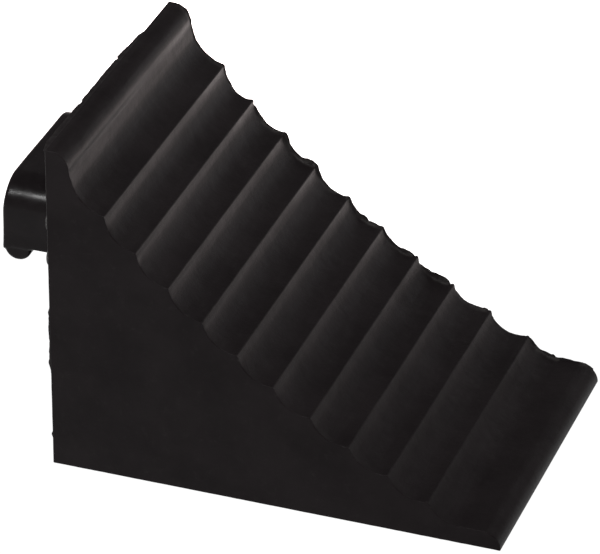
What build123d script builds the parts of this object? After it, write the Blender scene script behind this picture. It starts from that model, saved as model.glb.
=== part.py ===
"""Moulded rubber wheel chock with a bolted-on rubber grip.

The chock is a solid rubber wedge that stands on its flat base. Its long face is hollowed to the
curve of a tyre and cut into scallops with a ridge between each pair. A thin lip of flash, left
by the mould, runs along the top of the upright back. A hand grip is bolted to the back: a thick
rubber cup, open below for the fingers, moulded round a bent steel strap. Four screws hold the
strap to threaded bushings, which are welded to a steel plate that is moulded into the wedge.

Frame: +X from the back towards the toe, +Y across the width, +Z up. The origin is on the floor,
in the middle of the box round the whole chock. Lengths are in millimetres and angles in radians.
"""

from build123d import *
import math
import os

# Wedge
LENGTH = 280.0
WIDTH = 199.0
HEIGHT = 213.5
FLASH_DEPTH = 3.6
FLASH_THICKNESS = 1.2

# Scalloped face. Distances run forward from the back face and up from the floor.
FIRST_RIDGE = (36.0, 176.0)
LAST_RIDGE = (235.0, 24.0)
RIDGE_COUNT = 10
FACE_RADIUS = 677.0
SCALLOP_RADIUS = 22.0
CROWN_SCALLOP_RADIUS = 28.0
RIDGE_TIP_RADIUS = 0.8
NOSE_RADIUS = 11.5
NOSE_FLAT = 3.0
TOE_RADIUS = 11.5

# Treads in the base
TREAD_COUNT = 12
TREAD_PITCH = 20.0
TREAD_WIDTH = 6.0
TREAD_DEPTH = 3.0
TREAD_MARGIN = 15.0
FIRST_TREAD = 28.0

# Grip: a cup that is open below, on a flange
GRIP_DEPTH = 48.0
GRIP_LEAN = 1.0
GRIP_LENGTH = 111.0
GRIP_BOTTOM = 116.5
GRIP_TOP = 159.0
GRIP_SHOULDER = 20.0
GRIP_ROUNDING = 2.0
GRIP_WALL = 20.0
GRIP_END_WALL = 12.0
GRIP_ROOF = 10.0
POCKET_ROUNDING = 8.0
BEAD_RADIUS = 8.0
BEAD_DROP = 8.5
BEAD_SETBACK = 1.0
BEAD_END_GAP = 0.5
BEAD_END_ROUNDING = 2.0
FLANGE_LENGTH = 154.0
FLANGE_BOTTOM = 109.0
FLANGE_TOP = 161.0
FLANGE_THICKNESS = 9.0
FLANGE_CORNER = 10.0
FLANGE_ROUNDING = 2.5

# Steel strap inside the grip
STRAP_THICKNESS = 4.0
STRAP_PLATE_HEIGHT = 40.0
STRAP_BAR_HEIGHT = 20.0
STRAP_LENGTH = 148.0
STRAP_BEND = 6.0
STRAP_BACKING = 2.0
STRAP_BAR_SETBACK = 8.0

# Fasteners: M8 x 25 hexagon screws and plain washers
SCREW_SPACING_Y = 130.0
SCREW_SPACING_Z = 24.0
SCREW_RADIUS = 4.0
SCREW_LENGTH = 25.0
SCREW_TIP_CHAMFER = 1.0
HEAD_ACROSS_FLATS = 13.0
HEAD_HEIGHT = 5.3
HEAD_CHAMFER_ANGLE = math.radians(30.0)
HEAD_FLAT_SHARE = 0.95
WASHER_RADIUS = 8.0
WASHER_HOLE_RADIUS = 4.2
WASHER_THICKNESS = 1.6
WASHER_CHAMFER = 0.3
SCREW_HOLE_RADIUS = 4.5
COUNTERBORE_RADIUS = 9.0

# Anchor inside the wedge
BUSHING_RADIUS = 7.0
BUSHING_BORE_RADIUS = 4.05
BUSHING_LENGTH = 22.0
PLATE_LENGTH = 150.0
PLATE_HEIGHT = 48.0
PLATE_THICKNESS = 4.0
PLATE_CORNER = 8.0
LOCK_HOLE_RADIUS = 10.0
LOCK_HOLE_SPACING = 34.0

# Places that follow from the sizes above
BACK_X = GRIP_DEPTH - (LENGTH + GRIP_DEPTH) / 2
STRAP_MIDDLE_Z = (FLANGE_BOTTOM + FLANGE_TOP) / 2
STRAP_FRONT_X = BACK_X - STRAP_BACKING - STRAP_THICKNESS
POCKET_TOP = GRIP_TOP - GRIP_ROOF
POCKET_FRONT_X = BACK_X - GRIP_DEPTH + GRIP_WALL
SCREW_PLACES = {
    "upper_left": (SCREW_SPACING_Y / 2, STRAP_MIDDLE_Z + SCREW_SPACING_Z / 2),
    "upper_right": (-SCREW_SPACING_Y / 2, STRAP_MIDDLE_Z + SCREW_SPACING_Z / 2),
    "lower_left": (SCREW_SPACING_Y / 2, STRAP_MIDDLE_Z - SCREW_SPACING_Z / 2),
    "lower_right": (-SCREW_SPACING_Y / 2, STRAP_MIDDLE_Z - SCREW_SPACING_Z / 2),
}


def block(x, y, z):
    """A box from its (low, high) span along each axis."""
    size = [high - low for low, high in (x, y, z)]
    middle = [(low + high) / 2 for low, high in (x, y, z)]
    return Pos(*middle) * Box(*size)


def rod(radius, start_x, end_x, y=0.0, z=0.0):
    """A cylinder along X."""
    middle = Location(((start_x + end_x) / 2, y, z), (0, 90, 0))
    return middle * Cylinder(radius, abs(end_x - start_x))


def circle_crossing(centre_a, radius_a, centre_b, radius_b):
    """The crossing of two circles that lies to the left of the way from centre_a to centre_b."""
    across = math.dist(centre_a, centre_b)
    bearing = math.atan2(centre_b[1] - centre_a[1], centre_b[0] - centre_a[0])
    opening = math.acos((radius_a**2 + across**2 - radius_b**2) / (2 * radius_a * across))
    return (
        centre_a[0] + radius_a * math.cos(bearing + opening),
        centre_a[1] + radius_a * math.sin(bearing + opening),
    )


def arc_middle(centre, radius, start, end):
    """The point of the arc halfway between start and end, which both lie at radius from centre."""
    towards = ((start[0] + end[0]) / 2 - centre[0], (start[1] + end[1]) / 2 - centre[1])
    scale = radius / math.hypot(*towards)
    return (centre[0] + towards[0] * scale, centre[1] + towards[1] * scale)


def ridge_points():
    """The ridges: evenly spaced along one arc, hollow side up, from the first to the last."""
    centre = circle_crossing(FIRST_RIDGE, FACE_RADIUS, LAST_RIDGE, FACE_RADIUS)
    first = math.atan2(FIRST_RIDGE[1] - centre[1], FIRST_RIDGE[0] - centre[0])
    last = math.atan2(LAST_RIDGE[1] - centre[1], LAST_RIDGE[0] - centre[0])
    step = (last - first) / (RIDGE_COUNT - 1)
    return [
        (
            centre[0] + FACE_RADIUS * math.cos(first + i * step),
            centre[1] + FACE_RADIUS * math.sin(first + i * step),
        )
        for i in range(RIDGE_COUNT)
    ]


def wedge_outline():
    """The side view of the wedge as a face in the XZ plane, before the back is moved to BACK_X."""
    ridges = ridge_points()
    nose = (NOSE_FLAT, HEIGHT - NOSE_RADIUS)
    crown = circle_crossing(
        nose, NOSE_RADIUS + CROWN_SCALLOP_RADIUS, ridges[0], CROWN_SCALLOP_RADIUS
    )
    share = NOSE_RADIUS / (NOSE_RADIUS + CROWN_SCALLOP_RADIUS)
    nose_end = (nose[0] + (crown[0] - nose[0]) * share, nose[1] + (crown[1] - nose[1]) * share)
    nose_top = (NOSE_FLAT, HEIGHT)

    toe = (LENGTH - TOE_RADIUS, 0.0)
    toe_top = (toe[0], TOE_RADIUS)
    last_z = TOE_RADIUS + SCALLOP_RADIUS
    last_x = ridges[-1][0] + math.sqrt(SCALLOP_RADIUS**2 - (ridges[-1][1] - last_z) ** 2)
    land_start = (last_x, TOE_RADIUS)

    def arc(centre, radius, start, end):
        return ThreePointArc(start, arc_middle(centre, radius, start, end), end)

    lines = [
        Line((0, 0), (0, HEIGHT)),
        Line((0, HEIGHT), nose_top),
        arc(nose, NOSE_RADIUS, nose_top, nose_end),
        arc(crown, CROWN_SCALLOP_RADIUS, nose_end, ridges[0]),
    ]
    for start, end in zip(ridges, ridges[1:]):
        centre = circle_crossing(start, SCALLOP_RADIUS, end, SCALLOP_RADIUS)
        lines.append(arc(centre, SCALLOP_RADIUS, start, end))
    lines.append(arc((last_x, last_z), SCALLOP_RADIUS, ridges[-1], land_start))
    lines.append(Line(land_start, toe_top))
    lines.append(arc(toe, TOE_RADIUS, toe_top, (LENGTH, 0)))
    lines.append(Line((LENGTH, 0), (0, 0)))

    face = make_face(Wire(lines))
    tips = [
        v for v in face.vertices() if any(math.dist((v.X, v.Y), r) < RIDGE_TIP_RADIUS for r in ridges)
    ]
    return fillet(tips, RIDGE_TIP_RADIUS)


def anchor_plate():
    """Steel plate inside the wedge. Rubber fills its three holes and locks it in."""
    near_x = BACK_X + BUSHING_LENGTH
    outline = RectangleRounded(PLATE_LENGTH, PLATE_HEIGHT, PLATE_CORNER)
    for place in (-LOCK_HOLE_SPACING, 0.0, LOCK_HOLE_SPACING):
        outline -= Pos(place, 0) * Circle(LOCK_HOLE_RADIUS)
    plane = Plane((near_x, 0, STRAP_MIDDLE_Z), x_dir=(0, 1, 0), z_dir=(1, 0, 0))
    return extrude(plane * outline, PLATE_THICKNESS)


def anchor_bushing(y, z):
    """Threaded steel bushing, from the back face to the anchor plate."""
    end_x = BACK_X + BUSHING_LENGTH
    return rod(BUSHING_RADIUS, BACK_X, end_x, y, z) - rod(BUSHING_BORE_RADIUS, BACK_X, end_x, y, z)


def chock_body():
    """The rubber wedge with its flash, the room for the anchor and the treads in its base."""
    outline = Plane((BACK_X, WIDTH / 2, 0), x_dir=(1, 0, 0), z_dir=(0, -1, 0)) * wedge_outline()
    body = extrude(outline, WIDTH)
    body += block(
        (BACK_X - FLASH_DEPTH, BACK_X),
        (-WIDTH / 2, WIDTH / 2),
        (HEIGHT - FLASH_THICKNESS, HEIGHT),
    )
    for i in range(TREAD_COUNT):
        middle = BACK_X + FIRST_TREAD + i * TREAD_PITCH
        body -= block(
            (middle - TREAD_WIDTH / 2, middle + TREAD_WIDTH / 2),
            (TREAD_MARGIN - WIDTH / 2, WIDTH / 2 - TREAD_MARGIN),
            (-TREAD_DEPTH, TREAD_DEPTH),
        )
    body -= anchor_plate()
    for y, z in SCREW_PLACES.values():
        body -= rod(BUSHING_RADIUS, BACK_X, BACK_X + BUSHING_LENGTH, y, z)
    return body


def strap():
    """Flat steel bar bent to a hat shape, narrow where it runs inside the cup."""
    flange_x = BACK_X - STRAP_BACKING - STRAP_THICKNESS / 2
    bar_x = BACK_X - GRIP_DEPTH + STRAP_BAR_SETBACK + STRAP_THICKNESS / 2
    leg_y = (GRIP_LENGTH - GRIP_END_WALL) / 2
    path = FilletPolyline(
        (flange_x, -STRAP_LENGTH / 2),
        (flange_x, -leg_y),
        (bar_x, -leg_y),
        (bar_x, leg_y),
        (flange_x, leg_y),
        (flange_x, STRAP_LENGTH / 2),
        radius=STRAP_BEND,
    )
    outline = trace(path, STRAP_THICKNESS)
    bottom_z = STRAP_MIDDLE_Z - STRAP_PLATE_HEIGHT / 2
    bar = extrude(Pos(0, 0, bottom_z) * outline, STRAP_PLATE_HEIGHT)
    notch = (STRAP_PLATE_HEIGHT - STRAP_BAR_HEIGHT) / 2
    for low_z in (bottom_z, bottom_z + STRAP_PLATE_HEIGHT - notch):
        bar -= block(
            (BACK_X - GRIP_DEPTH, BACK_X),
            (-GRIP_LENGTH / 2, GRIP_LENGTH / 2),
            (low_z, low_z + notch),
        )
    for y, z in SCREW_PLACES.values():
        bar -= rod(SCREW_HOLE_RADIUS, BACK_X - FLANGE_THICKNESS, BACK_X, y, z)
    return bar


def grip_cup():
    """The block that the fingers go under, with round shoulders and a bead along its lower edge."""
    front_x = BACK_X - GRIP_DEPTH
    half = GRIP_LENGTH / 2
    side = Polygon(
        (BACK_X, GRIP_BOTTOM),
        (BACK_X, GRIP_TOP),
        (front_x + GRIP_LEAN, GRIP_TOP),
        (front_x, GRIP_BOTTOM),
        align=None,
    )
    cup = extrude(Plane((0, half, 0), x_dir=(1, 0, 0), z_dir=(0, -1, 0)) * side, GRIP_LENGTH)
    roof = cup.faces().sort_by(Axis.Z)[-1]
    cup = fillet(roof.edges().filter_by(Axis.X), GRIP_SHOULDER)
    front = cup.faces().sort_by(Axis.X)[0].edges()
    cup = fillet(front - front.group_by(Axis.Z)[0], GRIP_ROUNDING)

    bead_half = half - BEAD_END_GAP
    bead_at = Location(
        (front_x + BEAD_SETBACK + BEAD_RADIUS, 0, GRIP_BOTTOM - BEAD_DROP + BEAD_RADIUS),
        (90, 0, 0),
    )
    bead = Cylinder(BEAD_RADIUS, 2 * bead_half)
    bead = bead_at * fillet(bead.edges().filter_by(GeomType.CIRCLE), BEAD_END_ROUNDING)
    return cup + bead


def finger_pocket():
    """The room for the fingers, from below the grip up to its roof and back to the wedge."""
    half = GRIP_LENGTH / 2 - GRIP_END_WALL
    room = block((POCKET_FRONT_X, BACK_X), (-half, half), (0.0, POCKET_TOP))
    front = room.faces().sort_by(Axis.X)[0].edges()
    inner = front - front.group_by(Axis.Z)[0]
    roof_ends = room.faces().sort_by(Axis.Z)[-1].edges().filter_by(Axis.X)
    return fillet(inner + roof_ends, POCKET_ROUNDING)


def grip():
    """Rubber grip: cup and flange, hollowed for the fingers, the strap and the screws."""
    flange_z = (FLANGE_BOTTOM + FLANGE_TOP) / 2
    plane = Plane((BACK_X, 0, flange_z), x_dir=(0, 1, 0), z_dir=(-1, 0, 0))
    outline = RectangleRounded(FLANGE_LENGTH, FLANGE_TOP - FLANGE_BOTTOM, FLANGE_CORNER)
    flange = extrude(plane * outline, FLANGE_THICKNESS)
    flange = fillet(flange.faces().sort_by(Axis.X)[0].edges(), FLANGE_ROUNDING)
    body = flange + grip_cup()

    body -= finger_pocket()

    for y, z in SCREW_PLACES.values():
        body -= rod(COUNTERBORE_RADIUS, STRAP_FRONT_X - FLANGE_THICKNESS, STRAP_FRONT_X, y, z)
        body -= rod(SCREW_HOLE_RADIUS, STRAP_FRONT_X, BACK_X, y, z)
    return body - strap()


def washer(y, z):
    """Plain washer on the strap, at the bottom of its counterbore."""
    ring = rod(WASHER_RADIUS, STRAP_FRONT_X - WASHER_THICKNESS, STRAP_FRONT_X, y, z)
    ring = chamfer(ring.edges().filter_by(GeomType.CIRCLE).group_by(Axis.X)[0], WASHER_CHAMFER)
    return ring - rod(WASHER_HOLE_RADIUS, STRAP_FRONT_X - WASHER_THICKNESS, STRAP_FRONT_X, y, z)


def screw(y, z):
    """Hexagon-head screw, with its thread as a plain rod."""
    seat_x = STRAP_FRONT_X - WASHER_THICKNESS
    plane = Plane((seat_x, y, z), x_dir=(0, 1, 0), z_dir=(-1, 0, 0))
    hexagon = RegularPolygon(HEAD_ACROSS_FLATS / 2, 6, major_radius=False)
    head = extrude(plane * hexagon, HEAD_HEIGHT)
    flat_radius = HEAD_ACROSS_FLATS / 2 * HEAD_FLAT_SHARE
    seat_radius = flat_radius + HEAD_HEIGHT / math.tan(HEAD_CHAMFER_ANGLE)
    cone = Cone(seat_radius, flat_radius, HEAD_HEIGHT)
    head &= Location((seat_x - HEAD_HEIGHT / 2, y, z), (0, -90, 0)) * cone
    shank = rod(SCREW_RADIUS, seat_x, seat_x + SCREW_LENGTH, y, z)
    shank = chamfer(
        shank.edges().filter_by(GeomType.CIRCLE).group_by(Axis.X)[-1], SCREW_TIP_CHAMFER
    )
    return head + shank


def parts():
    """Every piece by its node's name."""
    made = {
        "chock_body": chock_body(),
        "anchor_plate": anchor_plate(),
        "grip": grip(),
        "grip_strap": strap(),
    }
    for place, (y, z) in SCREW_PLACES.items():
        made[f"anchor_bushing_{place}"] = anchor_bushing(y, z)
        made[f"grip_washer_{place}"] = washer(y, z)
        made[f"grip_screw_{place}"] = screw(y, z)
    return made


os.makedirs("parts", exist_ok=True)
for node, shape in parts().items():
    export_step(shape, f"parts/{node}.step")
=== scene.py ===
"""Studio picture of a black moulded rubber wheel chock with a bolted-on rubber grip.

The wedge and the grip are modelled here as they come out of a mould: rounded edges, a slightly
uneven skin, and ragged flash along the parting edges. The strap, screws, washers and anchor keep
their CAD shapes and get steel materials. Sizes are in millimetres until a mesh is made.
"""

import math

import bmesh
import bpy
import numpy as np
from mathutils import Matrix, Vector, noise


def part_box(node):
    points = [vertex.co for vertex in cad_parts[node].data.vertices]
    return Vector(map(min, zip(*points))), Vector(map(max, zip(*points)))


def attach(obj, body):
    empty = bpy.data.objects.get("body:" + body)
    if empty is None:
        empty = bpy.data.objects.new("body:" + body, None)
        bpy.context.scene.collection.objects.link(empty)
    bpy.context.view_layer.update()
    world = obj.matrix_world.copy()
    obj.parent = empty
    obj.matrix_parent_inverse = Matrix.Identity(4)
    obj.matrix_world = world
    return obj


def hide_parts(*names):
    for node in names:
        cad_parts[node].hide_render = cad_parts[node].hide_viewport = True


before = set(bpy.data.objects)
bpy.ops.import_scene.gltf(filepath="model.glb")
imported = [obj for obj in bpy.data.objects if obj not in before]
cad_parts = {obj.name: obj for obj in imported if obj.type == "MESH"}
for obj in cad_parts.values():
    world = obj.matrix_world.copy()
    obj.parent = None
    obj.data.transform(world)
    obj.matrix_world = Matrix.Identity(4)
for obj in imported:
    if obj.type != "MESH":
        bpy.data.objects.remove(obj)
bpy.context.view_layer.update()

MM = 0.001

# The places that everything else is worked out from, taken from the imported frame
wedge_low, wedge_high = (np.array(corner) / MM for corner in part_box("chock_body"))
grip_low, grip_high = (np.array(corner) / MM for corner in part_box("grip"))
BACK_X = float(grip_high[0])
LENGTH = float(wedge_high[0]) - BACK_X
HALF_WIDTH = float(wedge_high[1])
HEIGHT = float(wedge_high[2])

# Scalloped face: distances run forward from the back face and up from the floor
FIRST_RIDGE = (36.0, 176.0)
LAST_RIDGE = (235.0, 24.0)
RIDGE_COUNT = 10
FACE_RADIUS = 677.0
SCALLOP_RADIUS = 22.0
CROWN_SCALLOP_RADIUS = 28.0
CROWN_BULGE = 0.4
CROWN_BULGE_PLACE = (15.5, 196.0)
CROWN_BULGE_SPREAD = 4.0
NOSE_RADIUS = 11.5
NOSE_FLAT = 3.0
TOE_RADIUS = 11.5

# How finely the wedge is divided, and how sharp its corners are
WEDGE_SHARP_ANGLE = math.radians(42)
FINE_STEP = 1.1
COARSE_STEP = 4.0
WIDTH_STEP = 2.4
CORNER_STEPS = 6
RIDGE_CUT = 1.0
TOP_CUT = 0.6
BASE_CUT = 0.6
NEAR_EDGE_ROUND = 0.5
STEEP_EDGE_ROUND = 0.5
FAR_EDGE_ROUND = 0.3
EDGE_ROUND_SWING = 0.25
EDGE_SWING_SCALE = 6.0
EDGE_ROUND_MOST = 2.8
EDGE_STEPS = 5
NOSE_EDGE_Z = 197.0
CORNER_ROOM = 0.38
CORNER_ROOM_GROWTH = 0.8

# The far edge of the scalloped face, left ragged by the mould and worn by use: where flash stands
# up or, below 0, the edge is worn down. Each stretch is (middle, height, half its length), with the
# lengths counted in ridges from the first one.
FAR_EDGE_STRETCHES = (
    (0.63, -1.8, 0.36),
    (1.00, -1.2, 0.04),
    (1.14, 0.55, 0.20),
    (2.04, 1.05, 0.06),
    (2.50, 1.25, 0.52),
    (2.79, 1.4, 0.17),
    (3.15, 0.4, 0.25),
    (3.82, -0.5, 0.22),
    (4.30, 0.8, 0.32),
    (4.44, 1.4, 0.10),
    (4.72, 0.9, 0.12),
    (5.32, 0.75, 0.30),
    (5.68, 1.6, 0.17),
    (6.01, -2.2, 0.10),
    (6.33, 1.3, 0.13),
    (6.63, 3.0, 0.24),
    (6.98, -2.6, 0.08),
    (7.15, -0.8, 0.30),
    (7.72, 0.25, 0.12),
    (7.87, 0.95, 0.08),
    (8.00, -2.6, 0.05),
    (8.32, -1.7, 0.36),
    (8.85, -0.9, 0.20),
    (9.00, -0.8, 0.03),
    (9.12, 0.5, 0.10),
    (9.50, 1.0, 0.14),
    (9.65, 0.9, 0.05),
    (9.96, 0.7, 0.16),
)
WORN_ROUNDING = 1.6


# ---------------------------------------------------------------- side view of the wedge

def circle_crossing(centre_a, radius_a, centre_b, radius_b):
    """The crossing of two circles that lies to the left of the way from centre_a to centre_b."""
    across = math.dist(centre_a, centre_b)
    bearing = math.atan2(centre_b[1] - centre_a[1], centre_b[0] - centre_a[0])
    opening = math.acos((radius_a**2 + across**2 - radius_b**2) / (2 * radius_a * across))
    return (
        centre_a[0] + radius_a * math.cos(bearing + opening),
        centre_a[1] + radius_a * math.sin(bearing + opening),
    )


def line_run(start, end):
    """A straight run as (length, function from distance to points)."""
    start, end = np.array(start, float), np.array(end, float)
    length = float(np.linalg.norm(end - start))
    return length, lambda s: start + np.outer(np.atleast_1d(s) / length, end - start)


def arc_run(centre, start, end):
    """The shorter arc about centre from start to end, in the same form as line_run."""
    centre = np.array(centre, float)
    radius = math.dist(centre, start)
    first = math.atan2(start[1] - centre[1], start[0] - centre[0])
    last = math.atan2(end[1] - centre[1], end[0] - centre[0])
    sweep = (last - first + math.pi) % (2 * math.pi) - math.pi

    def at(s):
        angle = first + np.atleast_1d(s) / (radius * abs(sweep)) * sweep
        return centre + radius * np.stack([np.cos(angle), np.sin(angle)], axis=1)

    return radius * abs(sweep), at


def ridge_points():
    """The ridges: evenly spaced along one arc, hollow side up, from the first to the last."""
    centre = circle_crossing(FIRST_RIDGE, FACE_RADIUS, LAST_RIDGE, FACE_RADIUS)
    first = math.atan2(FIRST_RIDGE[1] - centre[1], FIRST_RIDGE[0] - centre[0])
    last = math.atan2(LAST_RIDGE[1] - centre[1], LAST_RIDGE[0] - centre[0])
    angles = np.linspace(first, last, RIDGE_COUNT)
    return [(centre[0] + FACE_RADIUS * math.cos(a), centre[1] + FACE_RADIUS * math.sin(a)) for a in angles]


def wedge_runs():
    """The runs round the side view, each as (run, cut at the corner after it, spacing)."""
    ridges = ridge_points()
    nose = (NOSE_FLAT, HEIGHT - NOSE_RADIUS)
    crown = circle_crossing(nose, NOSE_RADIUS + CROWN_SCALLOP_RADIUS, ridges[0], CROWN_SCALLOP_RADIUS)
    share = NOSE_RADIUS / (NOSE_RADIUS + CROWN_SCALLOP_RADIUS)
    nose_end = (nose[0] + (crown[0] - nose[0]) * share, nose[1] + (crown[1] - nose[1]) * share)
    toe = (LENGTH - TOE_RADIUS, 0.0)
    toe_top = (toe[0], TOE_RADIUS)
    last_z = TOE_RADIUS + SCALLOP_RADIUS
    last_x = ridges[-1][0] + math.sqrt(SCALLOP_RADIUS**2 - (ridges[-1][1] - last_z) ** 2)

    runs = [
        (line_run((0, 0), (0, HEIGHT)), TOP_CUT, COARSE_STEP),
        (line_run((0, HEIGHT), (NOSE_FLAT, HEIGHT)), 0.0, FINE_STEP),
        (arc_run(nose, (NOSE_FLAT, HEIGHT), nose_end), 0.0, FINE_STEP),
        (arc_run(crown, nose_end, ridges[0]), RIDGE_CUT, FINE_STEP),
    ]
    for start, end in zip(ridges, ridges[1:]):
        centre = circle_crossing(start, SCALLOP_RADIUS, end, SCALLOP_RADIUS)
        runs.append((arc_run(centre, start, end), RIDGE_CUT, FINE_STEP))
    runs.append((arc_run((last_x, last_z), ridges[-1], (last_x, TOE_RADIUS)), 0.0, FINE_STEP))
    runs.append((line_run((last_x, TOE_RADIUS), toe_top), 0.0, FINE_STEP))
    runs.append((arc_run(toe, toe_top, (LENGTH, 0)), BASE_CUT, FINE_STEP))
    runs.append((line_run((LENGTH, 0), (0, 0)), BASE_CUT, COARSE_STEP))
    return runs


def wedge_outline():
    """Points round the side view, their outward directions and how round a side edge may be there.

    Corners are rounded. The side edges have to be sharper beside a corner than away from it.
    """
    runs = wedge_runs()
    points = []
    room = []
    for i, ((length, at), cut, spacing) in enumerate(runs):
        cut_before = runs[i - 1][1]
        start, end = cut_before, length - cut
        steps = max(1, round((end - start) / spacing))
        stations = np.linspace(start, end, steps + 1)
        stations = stations[:-1] if cut == 0 else stations
        points.append(at(stations))
        before = stations - start if cut_before else np.full(len(stations), LENGTH)
        after = end - stations if cut else np.full(len(stations), LENGTH)
        room.append(CORNER_ROOM + CORNER_ROOM_GROWTH * np.minimum(before, after))
        if cut:
            following = runs[(i + 1) % len(runs)][0][1]
            a, corner, b = at(end)[0], at(length)[0], following(cut)[0]
            t = np.linspace(0, 1, CORNER_STEPS + 1)[1:-1, None]
            points.append((1 - t) ** 2 * a + 2 * t * (1 - t) * corner + t**2 * b)
            room.append(np.full(len(t), CORNER_ROOM))
    points = np.concatenate(points)
    along = np.roll(points, -1, axis=0) - np.roll(points, 1, axis=0)
    along /= np.linalg.norm(along, axis=1)[:, None]
    out = np.stack([-along[:, 1], along[:, 0]], axis=1)
    bulge = np.array([bump_at(math.dist(p, CROWN_BULGE_PLACE), 0.0, CROWN_BULGE_SPREAD) for p in points])
    return points + CROWN_BULGE * bulge[:, None] * out, out, np.concatenate(room)


# ---------------------------------------------------------------- mesh helpers

def new_object(name, vertices, faces):
    """A mesh object from vertices in millimetres."""
    mesh = bpy.data.meshes.new(name)
    mesh.from_pydata([tuple(v) for v in np.asarray(vertices) * MM], [], [tuple(f) for f in faces])
    mesh.validate()
    obj = bpy.data.objects.new(name, mesh)
    bpy.context.scene.collection.objects.link(obj)
    return obj


def shade_smooth(obj):
    obj.data.polygons.foreach_set("use_smooth", [True] * len(obj.data.polygons))


def outward(obj):
    """Turns every face outwards."""
    work = bmesh.new()
    work.from_mesh(obj.data)
    bmesh.ops.recalc_face_normals(work, faces=work.faces)
    work.to_mesh(obj.data)
    work.free()


def apply_modifiers(obj):
    """Replaces the mesh with what its modifiers make of it."""
    seen = obj.evaluated_get(bpy.context.evaluated_depsgraph_get())
    mesh = bpy.data.meshes.new_from_object(seen)
    obj.modifiers.clear()
    obj.data = mesh


def combine(obj, others, operation):
    """Joins or cuts obj with each of the others, which are then removed."""
    for other in others:
        change = obj.modifiers.new("combine", "BOOLEAN")
        change.operation = operation
        change.solver = "MANIFOLD"
        change.object = other
        apply_modifiers(obj)
        bpy.data.objects.remove(other)


def ripple(point, scale, seed=0.0):
    """Smooth noise from about -1 to 1 whose bumps are about scale millimetres long."""
    return noise.noise(Vector(point) / scale + Vector((seed, seed * 1.7, -seed)))


def bump_at(value, place, spread):
    """A smooth bump of height 1 at place."""
    return math.exp(-(((value - place) / spread) ** 2))


def plateau_at(value, place, half):
    """Like bump_at, with a flatter top and steeper sides."""
    return math.exp(-(((value - place) / half) ** 4))


def eased(value, low, high):
    """0 below low, 1 above high, and a smooth step between."""
    t = min(max((value - low) / (high - low), 0.0), 1.0)
    return t * t * (3 - 2 * t)


# ---------------------------------------------------------------- the wedge

SKIN_SWING = 0.16
SKIN_SCALE = 34.0
FINE_SKIN_SWING = 0.06
FINE_SKIN_SCALE = 9.0
SKIN_CALM = 14.0
TOP_CALM = 8.0


def skin_shift(x, y, z):
    """How far the moulded skin stands off the true shape here. It keeps true beside the ends."""
    clear = min(eased(z, 2.0, SKIN_CALM), eased(x, 1.0, SKIN_CALM), eased(LENGTH - x, 1.0, SKIN_CALM))
    clear = min(clear, eased(HEIGHT - z, 0.3, TOP_CALM))
    broad = SKIN_SWING * ripple((x, y, z), SKIN_SCALE)
    fine = FINE_SKIN_SWING * ripple((x, y, z), FINE_SKIN_SCALE, 5.0)
    return clear * (broad + fine)


RIDGE_XS = [x for x, _ in ridge_points()]


def far_edge_height(x):
    """How far the far edge of the scalloped face stands off the true shape at a distance x."""
    if x < FIRST_RIDGE[0]:
        return 0.0
    place = float(np.interp(x, RIDGE_XS, range(RIDGE_COUNT)))
    place += max(x - RIDGE_XS[-1], 0.0) / (RIDGE_XS[-1] - RIDGE_XS[-2])
    return sum(height * plateau_at(place, middle, half) for middle, height, half in FAR_EDGE_STRETCHES)


def edge_round(x, z, side, out_x):
    """Radius of the edge between the outline and one side of the wedge."""
    swing = EDGE_ROUND_SWING * ripple((x, side, z), EDGE_SWING_SCALE, 2.0)
    if side < 0:
        steep = eased(out_x, 0.5, 0.95) * (z < NOSE_EDGE_Z)
        return min(NEAR_EDGE_ROUND + STEEP_EDGE_ROUND * steep + swing, EDGE_ROUND_MOST)
    worn = 0.0 if z < TOE_RADIUS / 2 else max(0.0, -far_edge_height(x))
    return min(FAR_EDGE_ROUND + swing + WORN_ROUNDING * worn, EDGE_ROUND_MOST)


def wedge_mesh():
    """The wedge without its treads and flash: rings round the side view, from side to side."""
    points, out, room = wedge_outline()
    count = len(points)
    inner = HALF_WIDTH - EDGE_ROUND_MOST - 0.2
    stations = np.linspace(-inner, inner, max(2, round(2 * inner / WIDTH_STEP)) + 1)
    rings = []
    near, far = (
        np.minimum([edge_round(*p, side, o[0]) for p, o in zip(points, out)], room) for side in (-1, 1)
    )
    turns = np.linspace(0, math.pi / 2, EDGE_STEPS + 1)
    for turn in turns[::-1]:
        inset = near * (1 - math.cos(turn))
        y = -HALF_WIDTH + near * (1 - math.sin(turn))
        rings.append((points - out * inset[:, None], y))
    for y in stations:
        shift = np.array([skin_shift(p[0], y, p[1]) for p in points])
        rings.append((points + out * shift[:, None], np.full(count, y)))
    for turn in turns:
        inset = far * (1 - math.cos(turn))
        y = HALF_WIDTH - far * (1 - math.sin(turn))
        rings.append((points - out * inset[:, None], y))

    vertices = np.concatenate([
        np.stack([BACK_X + ring[:, 0], y, ring[:, 1]], axis=1) for ring, y in rings
    ])
    faces = []
    for k in range(len(rings) - 1):
        for i in range(count):
            j = (i + 1) % count
            faces.append((k * count + i, k * count + j, (k + 1) * count + j, (k + 1) * count + i))
    faces.append(tuple(range(count)))
    last = (len(rings) - 1) * count
    faces.append(tuple(last + i for i in reversed(range(count))))
    return vertices, faces


# ---------------------------------------------------------------- treads and the room for the anchor

TREAD_COUNT = 12
TREAD_PITCH = 20.0
TREAD_WIDTH = 6.0
TREAD_DEPTH = 3.0
TREAD_MARGIN = 15.0
FIRST_TREAD = 28.0
TREAD_DRAFT = 0.7
ROD_SIDES = 48


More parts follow.
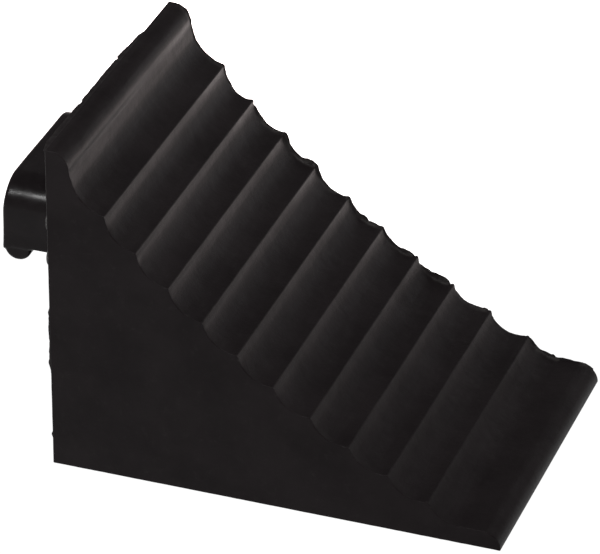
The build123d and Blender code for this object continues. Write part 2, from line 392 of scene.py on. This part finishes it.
def tread_cutter(middle):
    """A tapered bar that cuts one tread, wider at the base than at its floor."""
    half_y = HALF_WIDTH - TREAD_MARGIN
    corners = []
    for z, grow in ((-TREAD_DEPTH, 2 * TREAD_DRAFT), (TREAD_DEPTH, 0.0)):
        half_x = TREAD_WIDTH / 2 - TREAD_DRAFT / 2 + grow / 2
        reach = half_y + grow / 2
        corners += [(middle + sx * half_x, sy * reach, z) for sx, sy in ((-1, -1), (1, -1), (1, 1), (-1, 1))]
    faces = [(3, 2, 1, 0), (4, 5, 6, 7)] + [(i, (i + 1) % 4, (i + 1) % 4 + 4, i + 4) for i in range(4)]
    cutter = new_object("tread_cutter", corners, faces)
    outward(cutter)
    return cutter


def bushing_cutter(node):
    """A rod as wide as a bushing, from outside the back to the bushing's end."""
    low, high = (np.array(corner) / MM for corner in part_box(node))
    middle = (low + high) / 2
    radius = (high[2] - low[2]) / 2
    angles = np.linspace(0, 2 * math.pi, ROD_SIDES + 1)[:-1]
    ring = np.stack([middle[1] + radius * np.cos(angles), middle[2] + radius * np.sin(angles)], axis=1)
    ends = [np.column_stack([np.full(ROD_SIDES, x), ring]) for x in (low[0] - 5.0, high[0] + 0.01)]
    faces = []
    for i in range(ROD_SIDES):
        j = (i + 1) % ROD_SIDES
        faces.append((i, j, j + ROD_SIDES, i + ROD_SIDES))
    faces += [tuple(reversed(range(ROD_SIDES))), tuple(range(ROD_SIDES, 2 * ROD_SIDES))]
    cutter = new_object("bushing_cutter", np.concatenate(ends), faces)
    outward(cutter)
    return cutter


def node_cutter(node):
    """A closed copy of a CAD node, for cutting its room out of what surrounds it."""
    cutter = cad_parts[node].copy()
    cutter.data = cutter.data.copy()
    cutter.parent = None
    bpy.context.scene.collection.objects.link(cutter)
    work = bmesh.new()
    work.from_mesh(cutter.data)
    bmesh.ops.remove_doubles(work, verts=work.verts, dist=0.001 * MM)
    bmesh.ops.recalc_face_normals(work, faces=work.faces)
    work.to_mesh(cutter.data)
    work.free()
    return cutter


# ---------------------------------------------------------------- flash

FLASH_STEP = 0.8
FLASH_ROOT = 1.6
FLASH_TAPER = 0.45
FLASH_WOBBLE = 0.25

# The lip on the top edge: (depth lost, side, from, to) where it is worn, (place, depth, spread) of a notch
LIP_DEPTH = 3.1
LIP_THICKNESS = 1.1
LIP_BELOW_TOP = 0.75
LIP_WEAR = ((2.0, -1, 88.0, 99.0), (1.2, 1, 24.0, 48.0), (2.3, 1, 50.0, 64.0))
LIP_NOTCHES = ((-38.0, 1.3, 2.2), (20.0, 0.9, 1.8), (23.0, -0.5, 2.0))

# The upright edges of the back: lumps are (place, height, spread), the other pairs are heights from the floor
UPRIGHT_THICKNESS = 0.9
UPRIGHT_INSET = 0.55
UPRIGHT_GROWS = (60.0, 72.0)
UPRIGHT_ENDS = (104.0, 112.0)
UPRIGHT_LUMPS = ((69.0, 0.8, 2.4), (20.0, 0.7, 2.0))
HIDDEN_FLASH = -1.2

# The side edges of the scalloped face
FACE_FLASH_THICKNESS = 0.7
FACE_FLASH_INSET = 0.45
NEAR_FLASH_HEIGHT = -0.75
FAR_FLASH_HEIGHT = 0.5


def fin(path, out, side, heights, thickness):
    """A thin ragged sheet of rubber that stands on a path along out, as a closed mesh."""
    path, out, side = (np.asarray(v, float) for v in (path, out, side))
    heights = np.asarray(heights, float)[:, None]
    root = path - out * FLASH_ROOT
    tip = path + out * heights
    half = side * thickness / 2
    wobble = np.array([[FLASH_WOBBLE * ripple(p, 4.0, 11.0)] for p in path]) * side
    thin = half * FLASH_TAPER
    rings = np.stack([root - half, root + half, tip + thin + wobble, tip - thin + wobble], axis=1)
    vertices = rings.reshape(-1, 3)
    faces = [(3, 2, 1, 0)]
    for i in range(len(path) - 1):
        a, b = 4 * i, 4 * (i + 1)
        faces += [(a + k, a + (k + 1) % 4, b + (k + 1) % 4, b + k) for k in range(4)]
    end = 4 * (len(path) - 1)
    faces.append((end, end + 1, end + 2, end + 3))
    obj = new_object("fin", vertices, faces)
    outward(obj)
    return obj


def top_lip():
    """The lip of flash that hangs back from the top of the wedge, worn shorter towards both ends."""
    ys = np.arange(-HALF_WIDTH + 0.4, HALF_WIDTH - 0.3, FLASH_STEP)
    depths = []
    for y in ys:
        depth = LIP_DEPTH + 0.35 * ripple((y, 0, 0), 7.0, 3.0) + 0.28 * ripple((y, 0, 0), 2.2, 8.0)
        depth -= sum(lost * eased(side * y, low, high) for lost, side, low, high in LIP_WEAR)
        depth -= sum(notch * bump_at(y, place, spread) for place, notch, spread in LIP_NOTCHES)
        depths.append(depth)
    path = [(BACK_X, y, HEIGHT - LIP_BELOW_TOP) for y in ys]
    return fin(path, [(-1, 0, 0)] * len(ys), [(0, 0, 1)] * len(ys), depths, LIP_THICKNESS)


def upright_flash(side):
    """Flash along one upright edge of the back. On the near side it ends below the grip's top."""
    zs = np.arange(3.0, HEIGHT - 2.0, FLASH_STEP)
    heights = []
    for z in zs:
        height = -0.25 + eased(z, *UPRIGHT_GROWS)
        height += 0.45 * ripple((z, side, 0), 8.0, 4.0 + side) + 0.3 * ripple((z, side, 0), 2.4, 9.0)
        height += sum(lump * bump_at(z, place, spread) for place, lump, spread in UPRIGHT_LUMPS)
        if side < 0:
            height += (HIDDEN_FLASH - height) * eased(z, *UPRIGHT_ENDS)
        heights.append(height)
    path = [(BACK_X, side * (HALF_WIDTH - UPRIGHT_INSET), z) for z in zs]
    return fin(path, [(-1, 0, 0)] * len(zs), [(0, 1, 0)] * len(zs), heights, UPRIGHT_THICKNESS)


def face_flash(side):
    """Bits of flash along one side edge of the scalloped face."""
    points, out, _ = wedge_outline()
    keep = [i for i, (x, z) in enumerate(points) if z > TOE_RADIUS - 4 and x > NOSE_FLAT + 2]
    heights = []
    for x, z in points[keep]:
        ragged = ripple((x, side * 5, z), 5.0, 13.0 + side) + 0.6 * ripple((x, side * 5, z), 1.8, 21.0)
        if side < 0:
            height = NEAR_FLASH_HEIGHT + 1.2 * max(ragged, -0.4)
        else:
            height = FAR_FLASH_HEIGHT + 0.35 * ragged + far_edge_height(x)
        heights.append(max(height, 0.3 - FLASH_ROOT))
    heights[0] = heights[-1] = -0.8
    path = [(BACK_X + x, side * (HALF_WIDTH - FACE_FLASH_INSET), z) for x, z in points[keep]]
    stand = [(x, 0, z) for x, z in out[keep]]
    return fin(path, stand, [(0, 1, 0)] * len(keep), heights, FACE_FLASH_THICKNESS)


def make_wedge():
    vertices, faces = wedge_mesh()
    wedge = new_object("wedge", vertices, faces)
    outward(wedge)
    middles = [BACK_X + FIRST_TREAD + i * TREAD_PITCH for i in range(TREAD_COUNT)]
    combine(wedge, [tread_cutter(m) for m in middles], "DIFFERENCE")
    bushings = [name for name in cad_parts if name.startswith("anchor_bushing")]
    combine(wedge, [bushing_cutter(name) for name in bushings], "DIFFERENCE")
    combine(wedge, [node_cutter("anchor_plate")], "DIFFERENCE")
    fins = [top_lip(), upright_flash(-1), upright_flash(1), face_flash(-1), face_flash(1)]
    combine(wedge, fins, "UNION")
    shade_smooth(wedge)
    wedge.data.set_sharp_from_angle(angle=WEDGE_SHARP_ANGLE)
    soften = wedge.modifiers.new("soften", "WEIGHTED_NORMAL")
    soften.keep_sharp = True
    apply_modifiers(wedge)
    return wedge


# ---------------------------------------------------------------- the grip

GRIP_LENGTH = 111.0
GRIP_LEAN = 1.0
GRIP_SHOULDER = 20.0
GRIP_ROUNDING = 2.0
GRIP_WALL = 20.0
GRIP_END_WALL = 12.0
GRIP_ROOF = 10.0
GRIP_INSET = 0.2
POCKET_ROUNDING = 8.0
BEAD_RADIUS = 8.6
BEAD_DROP = 9.0
BEAD_SETBACK = 1.0
BEAD_END_GAP = 0.5
BEAD_END_ROUNDING = 2.0
FLANGE_THICKNESS = 9.0
FLANGE_CORNER = 10.0
FLANGE_ROUNDING = 2.5
FLANGE_OVER_CUP = 2.0
COUNTERBORE_RADIUS = 9.0
SCREW_HOLE_RADIUS = 4.5
MOULD_FILLET = 2.5
BEAD_FILLET = 1.5
POCKET_FILLET = 1.0
LIP_BELOW_CUP = 2.3
LIP_RAGGED = 0.5
GRIP_UNEVEN = 0.07
BEYOND_BACK = 30.0
NET_STEP = 1.0
NET_MARGIN = 3.0
NET_OFFSET = 0.013
GRIP_SHARP_ANGLE = math.radians(50)


def box_middle(node):
    """The middle of a CAD node's box, in millimetres."""
    low, high = (np.array(corner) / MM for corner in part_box(node))
    return (low + high) / 2


# The grip is level with the strap in it, and its counterbores end where the washers press on the strap
middle_z = float(box_middle("grip_strap")[2])
strap_front_x = float(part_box("grip_washer_upper_left")[1][0]) / MM
screw_places = [tuple(box_middle(name)[1:]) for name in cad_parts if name.startswith("grip_screw")]


def rounded_box(p, low, high, radius):
    """Distance from each point to a box with rounded edges, negative inside."""
    low, high = np.array(low, float), np.array(high, float)
    q = np.abs(p - (low + high) / 2) - ((high - low) / 2 - radius)
    return np.linalg.norm(np.maximum(q, 0), axis=-1) + np.minimum(q.max(axis=-1), 0) - radius


def rounded_overlap(a, b, radius):
    """Overlap of two distances, with the edge between them rounded."""
    a, b = a + radius, b + radius
    return np.hypot(np.maximum(a, 0), np.maximum(b, 0)) + np.minimum(np.maximum(a, b), 0) - radius


def rod_x(p, y, z, radius, low_x, high_x):
    """Distance from each point to a rod along X."""
    across = np.hypot(p[..., 1] - y, p[..., 2] - z) - radius
    along = np.maximum(low_x - p[..., 0], p[..., 0] - high_x)
    return np.maximum(across, along)


def rod_y(p, x, z, radius, half_y, rounding):
    """Distance from each point to a rod along Y with rounded ends."""
    across = np.hypot(p[..., 0] - x, p[..., 2] - z) - radius + rounding
    along = np.abs(p[..., 1]) - half_y + rounding
    outside = np.hypot(np.maximum(across, 0), np.maximum(along, 0))
    return outside + np.minimum(np.maximum(across, along), 0) - rounding


def joined(a, b, fillet):
    """Union of two distances with a fillet along the joint."""
    h = np.clip(0.5 + 0.5 * (b - a) / fillet, 0, 1)
    return b + (a - b) * h - fillet * h * (1 - h)


def without(a, b, fillet):
    """Distance a with b taken out of it."""
    return -joined(-a, b, fillet)


def cup_distance(p):
    """Distance from each point to the cup that the fingers hold, with its ragged lip and its bead."""
    front_x = float(grip_low[0])
    roof_z = float(grip_high[2]) - FLANGE_OVER_CUP
    cup_bottom = float(grip_low[2]) + BEAD_DROP
    half = GRIP_LENGTH / 2
    x, y, z = p[..., 0], p[..., 1], p[..., 2]
    uneven = GRIP_UNEVEN * (np.sin(x * 0.19 + y * 0.11) + np.sin(z * 0.23 - y * 0.07))

    across = np.abs(y) - (half - GRIP_SHOULDER)
    up = z - (roof_z - GRIP_SHOULDER)
    end_view = np.hypot(np.maximum(across, 0), np.maximum(up, 0)) + np.minimum(np.maximum(across, up), 0)
    lean = GRIP_LEAN * np.clip((z - cup_bottom) / (roof_z - cup_bottom), 0, 1)
    outer = front_x + GRIP_INSET + lean - x
    cup = rounded_overlap(end_view - GRIP_SHOULDER, outer, GRIP_ROUNDING) + uneven
    ragged = LIP_RAGGED * np.sin(y * 0.9) * np.sin(y * 0.37 + 1.0)
    lip = (LIP_BELOW_CUP + ragged) * np.clip((front_x + 6.0 - x) / 5.0, 0, 1)
    cup = rounded_overlap(cup, cup_bottom - lip - z, 0.5)
    bead_x = front_x + BEAD_SETBACK + BEAD_RADIUS
    bead_z = float(grip_low[2]) + BEAD_RADIUS
    bead = rod_y(p, bead_x, bead_z, BEAD_RADIUS, half - BEAD_END_GAP, BEAD_END_ROUNDING)
    return joined(cup, bead, BEAD_FILLET)


def flange_distance(p):
    """Distance from each point to the flange, which here runs on past the wedge's back."""
    low = (BACK_X - FLANGE_THICKNESS, float(grip_low[1]), 2 * middle_z - float(grip_high[2]))
    high = (BACK_X + BEYOND_BACK, float(grip_high[1]), float(grip_high[2]))
    flat = rounded_box(p, low, high, FLANGE_ROUNDING)
    spread = np.abs(p[..., 1:] - (0.0, middle_z))
    spread -= np.array([high[1], high[2] - middle_z]) - FLANGE_CORNER
    inside = np.minimum(spread.max(axis=-1), 0)
    corners = np.linalg.norm(np.maximum(spread, 0), axis=-1) + inside - FLANGE_CORNER
    return np.maximum(flat, corners)


def grip_distance(p):
    """Distance from each point to the grip's rubber, before the strap's room is cut."""
    solid = joined(cup_distance(p), flange_distance(p), MOULD_FILLET)
    half_room = GRIP_LENGTH / 2 - GRIP_END_WALL
    roof_z = float(grip_high[2]) - FLANGE_OVER_CUP
    room_low = (float(grip_low[0]) + GRIP_WALL, -half_room, 0.0)
    room_high = (BACK_X + BEYOND_BACK, half_room, roof_z - GRIP_ROOF)
    solid = without(solid, rounded_box(p, room_low, room_high, POCKET_ROUNDING), POCKET_FILLET)
    for y, z in screw_places:
        solid = np.maximum(solid, -rod_x(p, y, z, COUNTERBORE_RADIUS, BACK_X - 60, strap_front_x))
        solid = np.maximum(solid, -rod_x(p, y, z, SCREW_HOLE_RADIUS, BACK_X - 60, BACK_X + 5))
    return np.maximum(solid, p[..., 0] - BACK_X)


def surface_net(distance, low, high, step):
    """Vertices and quads of the surface where distance is 0.

    Each grid line that crosses the surface gives one quad, between the four cells round it. A cell's
    vertex is the middle of its crossings.
    """
    low = np.asarray(low, float)
    counts = [int(math.ceil((h - l) / step)) + 1 for l, h in zip(low, high)]
    index = np.stack(np.meshgrid(*[np.arange(n) for n in counts], indexing="ij"), axis=-1)
    value = distance(low + index * step)
    total = np.zeros((value.size, 3))
    hits = np.zeros(value.size)
    quads = []
    for axis in range(3):
        second, third = (axis + 1) % 3, (axis + 2) % 3
        before = np.take(value, range(counts[axis] - 1), axis=axis)
        after = np.take(value, range(1, counts[axis]), axis=axis)
        cells = np.argwhere((before < 0) != (after < 0))
        cells = cells[(cells[:, second] > 0) & (cells[:, third] > 0)]
        start, end = before[tuple(cells.T)], after[tuple(cells.T)]
        places = low + cells * step
        places[:, axis] += start / (start - end) * step
        around = []
        for shift_second, shift_third in ((0, 0), (-1, 0), (-1, -1), (0, -1)):
            cell = cells.copy()
            cell[:, second] += shift_second
            cell[:, third] += shift_third
            flat = np.ravel_multi_index(cell.T, value.shape)
            np.add.at(total, flat, places)
            np.add.at(hits, flat, 1)
            around.append(flat)
        quad = np.stack(around, axis=1)
        backwards = start >= 0
        quad[backwards] = quad[backwards][:, ::-1]
        quads.append(quad)
    quads = np.concatenate(quads)
    used, quads = np.unique(quads, return_inverse=True)
    vertices = total[used] / hits[used][:, None]
    return settled(distance, vertices, step), quads.reshape(-1, 4)


def settled(distance, vertices, step):
    """Moves vertices onto the surface where distance is 0."""
    reach = 0.05 * step
    for _ in range(3):
        off = distance(vertices)
        slope = np.stack([
            (distance(vertices + reach * axis) - distance(vertices - reach * axis)) / (2 * reach)
            for axis in np.eye(3)
        ], axis=1)
        size = np.maximum((slope**2).sum(axis=1), 0.25)
        move = -(off / size)[:, None] * slope
        vertices = vertices + np.clip(move, -0.4 * step, 0.4 * step)
    return vertices


def make_grip():
    low = grip_low - NET_MARGIN - NET_OFFSET
    high = grip_high + NET_MARGIN
    vertices, quads = surface_net(grip_distance, low, high, NET_STEP)
    grip = new_object("hand_grip", vertices, quads)
    outward(grip)
    combine(grip, [node_cutter("grip_strap")], "DIFFERENCE")
    shade_smooth(grip)
    grip.data.set_sharp_from_angle(angle=GRIP_SHARP_ANGLE)
    return grip


# ---------------------------------------------------------------- materials

RUBBER_DARK = (0.0057, 0.0045, 0.0048)
RUBBER_LIGHT = (0.0083, 0.0067, 0.0071)
RUBBER_DUST = (0.022, 0.020, 0.0195)
# Lighter colour for the wedge's sharp ridges and edges: partly rubbed wear, partly a painted highlight along
# the ridges
RUBBER_WORN_AND_HIGHLIGHT = (0.028, 0.026, 0.025)
GRIP_DARK = (0.0057, 0.0046, 0.0049)
GRIP_LIGHT = (0.0081, 0.0066, 0.0070)
PLATE_DARK = (0.014, 0.0135, 0.0135)
PLATE_LIGHT = (0.024, 0.0235, 0.023)
PLATE_WORN = (0.11, 0.105, 0.10)
SCALE_DARK = (0.075, 0.072, 0.072)
SCALE_RUBBED = (0.24, 0.235, 0.23)
ANCHOR_DARK = (0.30, 0.29, 0.28)
ANCHOR_LIGHT = (0.46, 0.455, 0.45)

# The wedge's rubber gets duller between these distances forward of the back face
DULLING = (66.0, 206.0)
GLOSS_BEHIND = 0.052
GLOSS_IN_FRONT = 0.036


def new_material(name):
    material = bpy.data.materials.new(name)
    material.use_nodes = True
    return material, material.node_tree, material.node_tree.nodes["Principled BSDF"]


def add_node(tree, kind, links=None, **settings):
    """A node with its properties and plain inputs set, and its linked inputs joined up."""
    node = tree.nodes.new(kind)
    for key, value in settings.items():
        if hasattr(node, key):
            setattr(node, key, value)
        else:
            node.inputs[key.replace("_", " ")].default_value = value
    for key, source in (links or {}).items():
        tree.links.new(source, node.inputs[key])
    return node


def noise_value(tree, scale, detail=3.0, roughness=0.5, stretch=None):
    """Noise over the object's own coordinates, in metres, stretched along an axis if asked."""
    place = add_node(tree, "ShaderNodeTexCoord").outputs["Object"]
    if stretch:
        place = add_node(tree, "ShaderNodeMapping", {"Vector": place}, Scale=stretch).outputs["Vector"]
    settings = {"Scale": scale, "Detail": detail, "Roughness": roughness}
    return add_node(tree, "ShaderNodeTexNoise", {"Vector": place}, **settings).outputs["Fac"]


def ranged(tree, value, from_low, from_high, to_low, to_high):
    """The value moved from one range to another, and held inside it."""
    node = add_node(
        tree, "ShaderNodeMapRange", {"Value": value},
        From_Min=from_low, From_Max=from_high, To_Min=to_low, To_Max=to_high,
    )
    return node.outputs["Result"]


def patches(tree, value, low, high, amount=1.0):
    """From 0 to amount as the value goes from low to high."""
    return ranged(tree, value, low, high, 0.0, amount)


def mixed(tree, factor, a, b):
    node = add_node(tree, "ShaderNodeMix", data_type="RGBA")
    tree.links.new(factor, node.inputs[0])
    for socket, colour in ((node.inputs[6], a), (node.inputs[7], b)):
        if isinstance(colour, tuple):
            socket.default_value = (*colour, 1.0)
        else:
            tree.links.new(colour, socket)
    return node.outputs[2]


def times(tree, a, b):
    node = add_node(tree, "ShaderNodeMath", operation="MULTIPLY")
    for socket, value in zip(node.inputs, (a, b)):
        if isinstance(value, float):
            socket.default_value = value
        else:
            tree.links.new(value, socket)
    return node.outputs[0]


def plus(tree, a, b):
    node = add_node(tree, "ShaderNodeMath", operation="ADD")
    tree.links.new(a, node.inputs[0])
    tree.links.new(b, node.inputs[1])
    return node.outputs[0]


def bumped(tree, shader, height, distance, strength=1.0):
    node = add_node(tree, "ShaderNodeBump", {"Height": height}, Strength=strength, Distance=distance)
    tree.links.new(node.outputs["Normal"], shader.inputs["Normal"])


def sharp_edge_mask(tree, low, high, amount):
    """How much an edge stands out, as a mask for lightening it: rubbed wear on the plate, partly wear and
    partly a painted highlight on the wedge's ridges.
    """
    pointed = add_node(tree, "ShaderNodeNewGeometry").outputs["Pointiness"]
    return patches(tree, pointed, low, high, amount)


def wedge_rubber():
    """Matt moulded rubber: mottled, with faint streaks along the scallops and a fine grain."""
    material, tree, shader = new_material("wedge_rubber")
    mottle = noise_value(tree, 26.0, 5.0, 0.6)
    blotch = noise_value(tree, 150.0, 4.0, 0.6)
    streak = noise_value(tree, 420.0, 3.0, 0.6, stretch=(1.0, 0.035, 1.0))
    grain = noise_value(tree, 1400.0, 3.0, 0.65)
    colour = mixed(tree, patches(tree, mottle, 0.35, 0.65), RUBBER_DARK, RUBBER_LIGHT)
    dust = times(tree, patches(tree, blotch, 0.55, 0.75), patches(tree, grain, 0.45, 0.7, 0.5))
    colour = mixed(tree, dust, colour, RUBBER_DUST)
    # Sharp ridges and edges are made lighter: partly rubbed wear, partly a painted highlight standing in for
    # the bright lines along the ridges
    worn = times(tree, sharp_edge_mask(tree, 0.53, 0.62, 1.0), ranged(tree, blotch, 0.4, 0.6, 0.1, 0.6))
    colour = mixed(tree, worn, colour, RUBBER_WORN_AND_HIGHLIGHT)
    tree.links.new(colour, shader.inputs["Base Color"])
    rough = plus(tree, times(tree, streak, 0.6), times(tree, blotch, 0.4))
    tree.links.new(ranged(tree, rough, 0.35, 0.65, 0.28, 0.38), shader.inputs["Roughness"])
    place = add_node(tree, "ShaderNodeTexCoord").outputs["Object"]
    along = add_node(tree, "ShaderNodeSeparateXYZ", {"Vector": place}).outputs["X"]
    dulling = ((BACK_X + distance) * MM for distance in DULLING)
    gloss = ranged(tree, along, *dulling, GLOSS_BEHIND, GLOSS_IN_FRONT)
    tree.links.new(gloss, shader.inputs["Specular IOR Level"])
    height = plus(tree, times(tree, streak, 0.8), times(tree, blotch, 1.4))
    bumped(tree, shader, plus(tree, times(tree, grain, 0.7), height), 0.00012)
    return material


def grip_rubber():
    """Smoother rubber than the wedge's, from a polished mould."""
    material, tree, shader = new_material("grip_rubber")
    mottle = noise_value(tree, 60.0, 5.0, 0.6)
    smear = noise_value(tree, 240.0, 4.0, 0.65)
    grain = noise_value(tree, 3200.0, 2.0, 0.5)
    colour = mixed(tree, patches(tree, mottle, 0.35, 0.65), GRIP_DARK, GRIP_LIGHT)
    tree.links.new(colour, shader.inputs["Base Color"])
    tree.links.new(ranged(tree, smear, 0.35, 0.7, 0.20, 0.28), shader.inputs["Roughness"])
    shader.inputs["Specular IOR Level"].default_value = 0.08
    bumped(tree, shader, plus(tree, times(tree, grain, 0.3), smear), 0.00004)
    return material


def black_plate():
    """Black-plated steel, slightly dulled, with the edges rubbed brighter."""
    material, tree, shader = new_material("black_plate")
    cloud = noise_value(tree, 260.0, 5.0, 0.65)
    fine = noise_value(tree, 3000.0, 3.0, 0.6)
    colour = mixed(tree, patches(tree, cloud, 0.35, 0.65), PLATE_DARK, PLATE_LIGHT)
    colour = mixed(tree, sharp_edge_mask(tree, 0.54, 0.66, 0.6), colour, PLATE_WORN)
    tree.links.new(colour, shader.inputs["Base Color"])
    tree.links.new(ranged(tree, cloud, 0.3, 0.7, 0.50, 0.64), shader.inputs["Roughness"])
    shader.inputs["Specular IOR Level"].default_value = 0.12
    shader.inputs["Metallic"].default_value = 0.1
    bumped(tree, shader, fine, 0.00003)
    return material


def strap_steel():
    """Hot-rolled flat bar with a dark scale and rubbed patches."""
    material, tree, shader = new_material("strap_steel")
    patch = noise_value(tree, 120.0, 6.0, 0.7)
    rolled = noise_value(tree, 900.0, 3.0, 0.6, stretch=(1.0, 0.06, 1.0))
    colour = mixed(tree, patches(tree, patch, 0.42, 0.62), SCALE_DARK, SCALE_RUBBED)
    tree.links.new(colour, shader.inputs["Base Color"])
    tree.links.new(ranged(tree, patch, 0.35, 0.65, 0.58, 0.36), shader.inputs["Roughness"])
    shader.inputs["Metallic"].default_value = 0.9
    bumped(tree, shader, plus(tree, rolled, patch), 0.00006)
    return material


def anchor_steel():
    """Bare cut and turned steel inside the wedge."""
    material, tree, shader = new_material("anchor_steel")
    cloud = noise_value(tree, 180.0, 5.0, 0.6)
    turned = noise_value(tree, 1500.0, 3.0, 0.6, stretch=(1.0, 1.0, 0.08))
    colour = mixed(tree, patches(tree, cloud, 0.4, 0.6), ANCHOR_DARK, ANCHOR_LIGHT)
    tree.links.new(colour, shader.inputs["Base Color"])
    tree.links.new(ranged(tree, turned, 0.3, 0.7, 0.34, 0.5), shader.inputs["Roughness"])
    shader.inputs["Metallic"].default_value = 1.0
    bumped(tree, shader, turned, 0.00005)
    return material


def dress(obj, material):
    obj.data.materials.clear()
    obj.data.materials.append(material)


# ---------------------------------------------------------------- studio

# The floor glows, most in a band behind the wedge. The band rises and falls between these distances
# in metres, and starts across a slanting line.
FLOOR_SIZE = 14.0
FLOOR_DROP = 0.0002
FLOOR_GLOW = 1.0
BACKDROP_GLOW = 4.0
BACKDROP_SLANT = 1.47
BACKDROP_ACROSS = (-0.20, 0.16)
BACKDROP_RISE = (0.12, 0.45)
BACKDROP_FALL = (0.48, 1.08)
FAR_FLOOR_DROP = 0.35
WHITE_GLOW = (1.0, 1.0, 1.0)
WARM_GLOW = (1.0, 0.89, 0.87)

WORLD_COLOUR = (1.0, 0.96, 0.97, 1.0)
WORLD_LOW = 0.56
WORLD_HIGH = 0.11
WORLD_FADE = 0.50

# Each softbox: direction from the target, distance and size in metres, and power in watts
SOFTBOX_TARGET = (0.0, 0.0, 0.1)
SOFTBOXES = {
    "key": ((-0.288, -0.642, 0.712), 2.2, (0.5, 0.18), 40),
    "side": ((0.84, -0.48, 0.12), 2.0, (0.8, 0.6), 12),
    "top": ((0.35, 0.30, 1.0), 2.2, (1.2, 1.2), 26),
    "card": ((0.24, 0.95, 0.09), 0.98, (0.50, 0.30), 0.66),
}

# The camera's place is counted in millimetres from the near lower corner of the back
CAMERA_FROM_CORNER = (939.5, -2206.1, 1540.2)
CAMERA_AZIMUTH = math.radians(19.55)
CAMERA_ELEVATION = math.radians(30.52)
CAMERA_ROLL = math.radians(0.17)
CAMERA_LENS = 285.5


def make_floor():
    """A pale floor that glows softly, so that the rubber has something bright to mirror."""
    half = FLOOR_SIZE / 2
    mesh = bpy.data.meshes.new("floor")
    corners = [(-half, -half, 0), (half, -half, 0), (half, half, 0), (-half, half, 0)]
    mesh.from_pydata(corners, [], [(0, 1, 2, 3)])
    floor = bpy.data.objects.new("floor", mesh)
    bpy.context.scene.collection.objects.link(floor)
    floor.location.z = -FLOOR_DROP
    material, tree, shader = new_material("floor_white")
    tone = ranged(tree, noise_value(tree, 3.0), 0.3, 0.7, 0.05, 0.06)
    shader.inputs["Roughness"].default_value = 0.9
    shader.inputs["Specular IOR Level"].default_value = 0.0
    white = add_node(tree, "ShaderNodeCombineColor", {"Red": tone, "Green": tone, "Blue": tone})
    tree.links.new(white.outputs["Color"], shader.inputs["Base Color"])
    place = add_node(tree, "ShaderNodeTexCoord").outputs["Object"]
    split = add_node(tree, "ShaderNodeSeparateXYZ", {"Vector": place})
    away = split.outputs["Y"]
    across = plus(tree, away, times(tree, split.outputs["X"], -BACKDROP_SLANT))
    rise = ranged(tree, away, *BACKDROP_RISE, 0.0, 1.0)
    tree.links.new(mixed(tree, rise, WHITE_GLOW, WARM_GLOW), shader.inputs["Emission Color"])
    lit = times(tree, rise, ranged(tree, away, *BACKDROP_FALL, 1.0, 0.0))
    lit = times(tree, lit, ranged(tree, across, *BACKDROP_ACROSS, 0.0, BACKDROP_GLOW - FLOOR_GLOW))
    glow = plus(tree, lit, ranged(tree, away, *BACKDROP_FALL, FLOOR_GLOW, FLOOR_GLOW - FAR_FLOOR_DROP))
    tree.links.new(glow, shader.inputs["Emission Strength"])
    floor.data.materials.append(material)


def softbox(name, direction, distance, size, power):
    """A rectangular area light that shines at the wedge from a direction."""
    light = bpy.data.lights.new(name, "AREA")
    light.shape = "RECTANGLE"
    light.size, light.size_y = size
    light.energy = power
    obj = bpy.data.objects.new(name, light)
    bpy.context.scene.collection.objects.link(obj)
    away = Vector(direction).normalized()
    obj.location = Vector(SOFTBOX_TARGET) + away * distance
    obj.rotation_mode = "QUATERNION"
    obj.rotation_quaternion = away.to_track_quat("Z", "Y")


def make_world():
    """A dim room above the horizon, so that only the floor and the softboxes shine in the rubber."""
    world = bpy.data.worlds.new("studio")
    world.use_nodes = True
    tree = world.node_tree
    background = tree.nodes["Background"]
    background.inputs["Color"].default_value = WORLD_COLOUR
    direction = add_node(tree, "ShaderNodeTexCoord").outputs["Generated"]
    up = add_node(tree, "ShaderNodeSeparateXYZ", {"Vector": direction}).outputs["Z"]
    tree.links.new(ranged(tree, up, 0.0, WORLD_FADE, WORLD_LOW, WORLD_HIGH), background.inputs["Strength"])
    bpy.context.scene.world = world


def make_camera():
    data = bpy.data.cameras.new("camera")
    data.lens = CAMERA_LENS
    data.sensor_width = 36.0
    data.clip_start, data.clip_end = 0.1, 50.0
    camera = bpy.data.objects.new("camera", data)
    bpy.context.scene.collection.objects.link(camera)
    corner = np.array((BACK_X, -HALF_WIDTH, 0.0))
    camera.location = (corner + CAMERA_FROM_CORNER) * MM
    level = math.cos(CAMERA_ELEVATION)
    back = Vector((
        math.sin(CAMERA_AZIMUTH) * level, -math.cos(CAMERA_AZIMUTH) * level, math.sin(CAMERA_ELEVATION),
    ))
    turn = (-back).to_track_quat("-Z", "Y").to_matrix() @ Matrix.Rotation(CAMERA_ROLL, 3, "Z")
    camera.rotation_mode = "QUATERNION"
    camera.rotation_quaternion = turn.to_quaternion()
    bpy.context.scene.camera = camera


wedge = make_wedge()
dress(wedge, wedge_rubber())
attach(wedge, "root")
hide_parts("chock_body")

grip = make_grip()
dress(grip, grip_rubber())
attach(grip, "root")
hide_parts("grip")

plated, strap, anchor = black_plate(), strap_steel(), anchor_steel()
for name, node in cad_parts.items():
    if name.startswith(("grip_screw", "grip_washer")):
        dress(node, plated)
    elif name == "grip_strap":
        dress(node, strap)
    elif name.startswith("anchor"):
        dress(node, anchor)

make_floor()
make_world()
for name, (direction, distance, size, power) in SOFTBOXES.items():
    softbox(name, direction, distance, size, power)
make_camera()
bpy.context.scene.view_settings.view_transform = "Standard"
